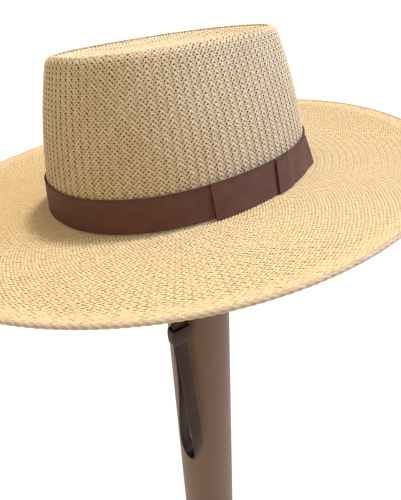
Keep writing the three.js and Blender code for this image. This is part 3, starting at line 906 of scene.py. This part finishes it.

# %% [markdown]
# ### Straw
# Dry straw is pale gold, each one a slightly different tone, with fine fibres along it and a dull
# shine. Along its edges, where it tucks under its neighbours, it is painted darker as the shade in the
# crevices between straws. Where the brim turns up into the crown a paler fold is painted light, for
# the light that this turn catches under the band.

# %% Straw finish
def straw_finish(name, light, dark, edge, edge_shade_amount, fold=0.0):
    material, tree, shader = new_finish(name, 0.6, 0.35)
    place = add_node(tree, "ShaderNodeAttribute", attribute_name="straw_place")
    parts = add_node(tree, "ShaderNodeSeparateXYZ")
    tree.links.new(place.outputs["Vector"], parts.inputs[0])
    across, along, shade = parts.outputs
    fibres = add_node(tree, "ShaderNodeCombineXYZ")
    tree.links.new(add_math(tree, "MULTIPLY", across, 3.0), fibres.inputs[0])
    tree.links.new(add_math(tree, "MULTIPLY", along, 0.35), fibres.inputs[1])
    tree.links.new(add_math(tree, "MULTIPLY", shade, 97.0), fibres.inputs[2])
    fine, broad = add_grain(tree, fibres.outputs[0], 2.2, 0.35)
    tone = add_math(tree, "ADD", add_math(tree, "MULTIPLY", shade, 0.45),
                    add_math(tree, "MULTIPLY", broad, 0.75))
    body = add_mix(tree, add_math(tree, "SUBTRACT", tone, 0.1), dark, light)
    body = add_mix(tree, add_math(tree, "MULTIPLY", add_math(tree, "GREATER_THAN", fine, 0.62), 0.25),
                   body, edge)
    # Painted shade: towards both edges each straw darkens to the edge colour, for the crevices between straws.
    rim = add_math(tree, "POWER", add_math(tree, "ABSOLUTE", across), 3.0)
    body = add_mix(tree, add_math(tree, "MULTIPLY", rim, edge_shade_amount), body, edge)
    # Painted light: over the first rows, where the brim turns up under the band, the straw is paler, for the light
    # that this turn catches.
    start = add_math(tree, "MAXIMUM", add_math(tree, "SUBTRACT", 1.0, add_math(tree, "MULTIPLY", along, 0.28)), 0.0)
    body = add_mix(tree, add_math(tree, "MULTIPLY", start, fold), body, (0.96, 0.9, 0.76))
    tree.links.new(body, shader.inputs["Base Color"])
    tree.links.new(add_math(tree, "ADD", add_math(tree, "MULTIPLY", fine, 0.3), 0.42),
                   shader.inputs["Roughness"])
    add_bump(tree, shader, fine, 0.25, 0.0002)
    return material


# The third colour is the painted shade along each straw's edges, and also the colour of the fine flecks.
crown_straw = straw_finish("crown_straw", linear(232, 208, 172), linear(208, 178, 132),
                           linear(88, 58, 30), 0.7)
# The brim's last number sets how strong the painted light on its turn into the crown is.
brim_straw = straw_finish("brim_straw", linear(235, 209, 162), linear(220, 186, 134),
                          linear(112, 78, 38), 0.55, 0.85)
# On the roll the third colour, at full strength, is painted shade in every crease.
edge_straw = straw_finish("edge_straw", linear(218, 196, 164), linear(192, 163, 124),
                          linear(58, 38, 22), 1.0)

# %% [markdown]
# The inner face is seen in two ways: through the plait's gaps, where its dark colour is painted shade,
# and from below, where it should read as plait. Crossed ribs on the two diagonals, in colour and in the
# bump, say that, and they are read from Object coordinates, as the face has no straws of its own.

# %% Inner face finish
def inner_finish(name, light, dark, scale=260.0):
    material, tree, shader = new_finish(name, 0.7, 0.2)
    place = add_node(tree, "ShaderNodeTexCoord")
    parts = add_node(tree, "ShaderNodeSeparateXYZ")
    tree.links.new(place.outputs["Object"], parts.inputs[0])
    x, y, z = parts.outputs
    across = add_math(tree, "ADD", x, y)
    down = add_math(tree, "ADD", add_math(tree, "SUBTRACT", x, y), add_math(tree, "MULTIPLY", z, 1.4))
    ribs = [add_math(tree, "ABSOLUTE", add_math(tree, "SINE", add_math(tree, "MULTIPLY", way, math.pi * scale)))
            for way in (across, down)]
    plait = add_math(tree, "MAXIMUM", *ribs)
    fine, broad = add_grain(tree, place.outputs["Object"], 900.0, 40.0)
    tone = add_math(tree, "MULTIPLY", add_math(tree, "ADD", plait, broad), 0.6)
    tree.links.new(add_mix(tree, tone, dark, light), shader.inputs["Base Color"])
    tree.links.new(add_math(tree, "ADD", add_math(tree, "MULTIPLY", fine, 0.3), 0.5),
                   shader.inputs["Roughness"])
    add_bump(tree, shader, plait, 0.6, 0.0004)
    return material


# Painted light: the tip's straw is paler than the side's, for the light that the dish catches from above.
tip_straw_painted_light = straw_finish("tip_straw_painted_light", linear(242, 219, 180), linear(224, 194, 144),
                         linear(106, 74, 40), 0.5)
# Both inner faces are painted darker than their straw, as the shade behind the plait's gaps; the crown's is painted
# darkest.
crown_inner_painted_shade = inner_finish("crown_inner_straw_painted_shade", linear(118, 88, 54), linear(62, 42, 24))
brim_inner_painted_shade = inner_finish("brim_inner_straw_painted_shade", linear(176, 140, 92), linear(112, 82, 48))
for name, material in (("crown_side_plait", crown_straw), ("crown_tip_plait", tip_straw_painted_light),
                       ("brim_plait_left", brim_straw), ("brim_plait_right", brim_straw),
                       ("brim_edge_roll", edge_straw), ("crown_side_inner", crown_inner_painted_shade),
                       ("crown_tip_inner", crown_inner_painted_shade), ("brim_underside", brim_inner_painted_shade)):
    bpy.data.objects[name].data.materials.append(material)

# %% [markdown]
# ### Ribbon
# The ribbon is a brown ribbed cloth. Its ribs cross it every 0.9 mm, too fine to model, so they are a
# wave in the bump and a little in the colour, and its selvedge is woven tighter and looks darker.

# %% Ribbon finish
def ribbon_finish(name, light, dark):
    material, tree, shader = new_finish(name, 0.62, 0.15)
    shader.inputs["Sheen Weight"].default_value = 0.03
    shader.inputs["Sheen Roughness"].default_value = 0.4
    place = add_node(tree, "ShaderNodeUVMap", uv_map="ribbon_place")
    parts = add_node(tree, "ShaderNodeSeparateXYZ")
    tree.links.new(place.outputs["UV"], parts.inputs[0])
    ribs = add_math(tree, "SINE", add_math(tree, "MULTIPLY", parts.outputs[0], 2 * math.pi / 0.9))
    fine, broad = add_grain(tree, place.outputs["UV"], 3.0, 0.12)
    edge = add_math(tree, "ABSOLUTE", add_math(tree, "SUBTRACT", parts.outputs[1], band_height / 2))
    selvedge = add_math(tree, "GREATER_THAN", edge, band_height / 2 - 1.1)
    tone = add_math(tree, "ADD", add_math(tree, "MULTIPLY", broad, 0.8),
                    add_math(tree, "MULTIPLY", ribs, 0.02))
    body = add_mix(tree, tone, dark, light)
    body = add_mix(tree, add_math(tree, "MULTIPLY", selvedge, 0.45), body, dark)
    tree.links.new(body, shader.inputs["Base Color"])
    tree.links.new(add_math(tree, "ADD", add_math(tree, "MULTIPLY", fine, 0.25), 0.48),
                   shader.inputs["Roughness"])
    add_bump(tree, shader, add_math(tree, "ADD", ribs, add_math(tree, "MULTIPLY", fine, 0.6)),
             0.12, 0.00006)
    return material


brown_ribbon = ribbon_finish("brown_ribbon", linear(118, 81, 69), linear(86, 56, 46))
for piece in (hat_band, bow_fold, bow_end):
    piece.data.materials.append(brown_ribbon)

# %% [markdown]
# ### Leather
# The strap and its slide are soft dark brown leather, with small pores, a paler worn line along the
# edges and a dull shine that differs from place to place.

# %% Leather finish
def leather_finish(name, light, dark, worn):
    material, tree, shader = new_finish(name, 0.5, 0.22)
    place = add_node(tree, "ShaderNodeTexCoord")
    fine, broad = add_grain(tree, place.outputs["Object"], 900.0, 60.0)
    pores = add_node(tree, "ShaderNodeTexVoronoi", Scale=1400.0)
    tree.links.new(place.outputs["Object"], pores.inputs["Vector"])
    body = add_mix(tree, broad, dark, light)
    shape = add_node(tree, "ShaderNodeNewGeometry")
    wear = add_math(tree, "GREATER_THAN", shape.outputs["Pointiness"], 0.53)
    body = add_mix(tree, add_math(tree, "MULTIPLY", wear, 0.35), body, worn)
    tree.links.new(body, shader.inputs["Base Color"])
    tree.links.new(add_math(tree, "ADD", add_math(tree, "MULTIPLY", fine, 0.3), 0.36),
                   shader.inputs["Roughness"])
    add_bump(tree, shader, add_math(tree, "ADD", pores.outputs["Distance"], fine), 0.4, 0.0002)
    return material


brown_leather = leather_finish("brown_leather", linear(64, 35, 26), linear(38, 19, 12),
                               linear(76, 46, 35))
for piece in (chin_strap, strap_slide):
    piece.data.materials.append(brown_leather)

# %% [markdown]
# ### Lacquered stand
# The stand is turned wood under a brown satin lacquer. The grain runs up the post and only just
# shows, and the lacquer's shine is a little uneven.

# %% Stand finish
def lacquer_finish(name, light, dark):
    material, tree, shader = new_finish(name, 0.45, 0.25)
    shader.inputs["Coat Weight"].default_value = 0.05
    shader.inputs["Coat Roughness"].default_value = 0.35
    place = add_node(tree, "ShaderNodeTexCoord")
    stretch = add_node(tree, "ShaderNodeMapping")
    stretch.inputs["Scale"].default_value = (1.0, 1.0, 0.06)
    tree.links.new(place.outputs["Object"], stretch.inputs["Vector"])
    fine, broad = add_grain(tree, stretch.outputs[0], 420.0, 45.0)
    body = add_mix(tree, add_math(tree, "MULTIPLY", add_math(tree, "ADD", fine, broad), 0.5), dark, light)
    tree.links.new(body, shader.inputs["Base Color"])
    tree.links.new(add_math(tree, "ADD", add_math(tree, "MULTIPLY", broad, 0.2), 0.38),
                   shader.inputs["Roughness"])
    add_bump(tree, shader, fine, 0.08, 0.0002)
    return material


brown_lacquer = lacquer_finish("brown_lacquer", linear(123, 93, 70), linear(98, 71, 49))
for piece in (stand_post, stand_foot):
    piece.data.materials.append(brown_lacquer)

# %% [markdown]
# ## Studio
# A plain pale floor, a strong soft light from above and behind the hat's left, and a pale room. The
# floor has a light of its own, so that it stays as pale as the picture's plain ground.

# %% Floor
bm = bmesh.new()
bmesh.ops.create_circle(bm, cap_ends=True, segments=96, radius=40.0)
floor_mesh = mesh_from_bmesh(bm)
floor = bpy.data.objects.new("studio_floor", floor_mesh)
scene.collection.objects.link(floor)
floor_finish, floor_tree, floor_shader = new_finish("pale_floor", 0.9, 0.1)
floor_coordinates = add_node(floor_tree, "ShaderNodeTexCoord")
floor_grain, floor_patches = add_grain(floor_tree, floor_coordinates.outputs["Object"], 300.0, 4.0)
floor_tree.links.new(add_mix(floor_tree, floor_patches, (0.93, 0.93, 0.93), (0.95, 0.95, 0.95)),
                     floor_shader.inputs["Base Color"])
floor_mesh.materials.append(floor_finish)

# %% Lights
def add_light(name, kind, energy, place, target, size=None, colour=(1, 1, 1)):
    data = bpy.data.lights.new(name, kind)
    data.energy = energy
    data.color = colour
    if kind == "SUN":
        data.angle = size
    else:
        data.size = size
    light = bpy.data.objects.new(name, data)
    light.location = place
    light.rotation_mode = "QUATERNION"
    light.rotation_quaternion = (Vector(target) - Vector(place)).to_track_quat("-Z", "Y")
    scene.collection.objects.link(light)
    return light


hat_parts = bpy.data.collections.new("lit_by_the_key")
for piece in [o for o in scene.objects if o.type == "MESH" and o != floor and not o.hide_render]:
    hat_parts.objects.link(piece)
floor_parts = bpy.data.collections.new("lit_by_the_floor_light")
floor_parts.objects.link(floor)

hat_middle = Vector((0.0, 0.0, 0.62))
key_way = Vector((-0.05, 0.38, 1.0))
key = add_light("key", "SUN", 2.3, hat_middle + key_way * 3, hat_middle, math.radians(6),
                (1.0, 0.96, 0.9))
key.light_linking.receiver_collection = hat_parts
floor_light = add_light("floor_light", "SUN", 2.8, (0, 0, 3), (0, 0, 0), math.radians(20))
floor_light.light_linking.receiver_collection = floor_parts
floor_light.light_linking.blocker_collection = floor_parts
overhead = add_light("overhead", "SUN", 0.9, (0.0, 0.0, 3.0), (0.0, 0.0, 0.6), math.radians(80),
                     (1.0, 0.95, 0.88))
overhead.light_linking.receiver_collection = hat_parts
side_light = add_light("side_light", "AREA", 13.0, (0.6, 0.8, 1.2), (0.0, 0.0, 0.66), 0.6,
                       (0.39, 0.6, 1.0))
side_light.light_linking.receiver_collection = hat_parts

world = bpy.data.worlds.new("pale_room")
world.use_nodes = True
background = world.node_tree.nodes["Background"]
seen = world.node_tree.nodes.new("ShaderNodeLightPath")
world.node_tree.links.new(
    add_mix(world.node_tree, seen.outputs["Is Camera Ray"], (1.0, 0.87, 0.66), (1.0, 1.0, 1.0)),
    background.inputs["Color"])
world.node_tree.links.new(
    add_math(world.node_tree, "ADD", add_math(world.node_tree, "MULTIPLY",
                                              seen.outputs["Is Camera Ray"], 0.65), 0.4),
    background.inputs["Strength"])
scene.world = world
scene.view_settings.view_transform = "Standard"
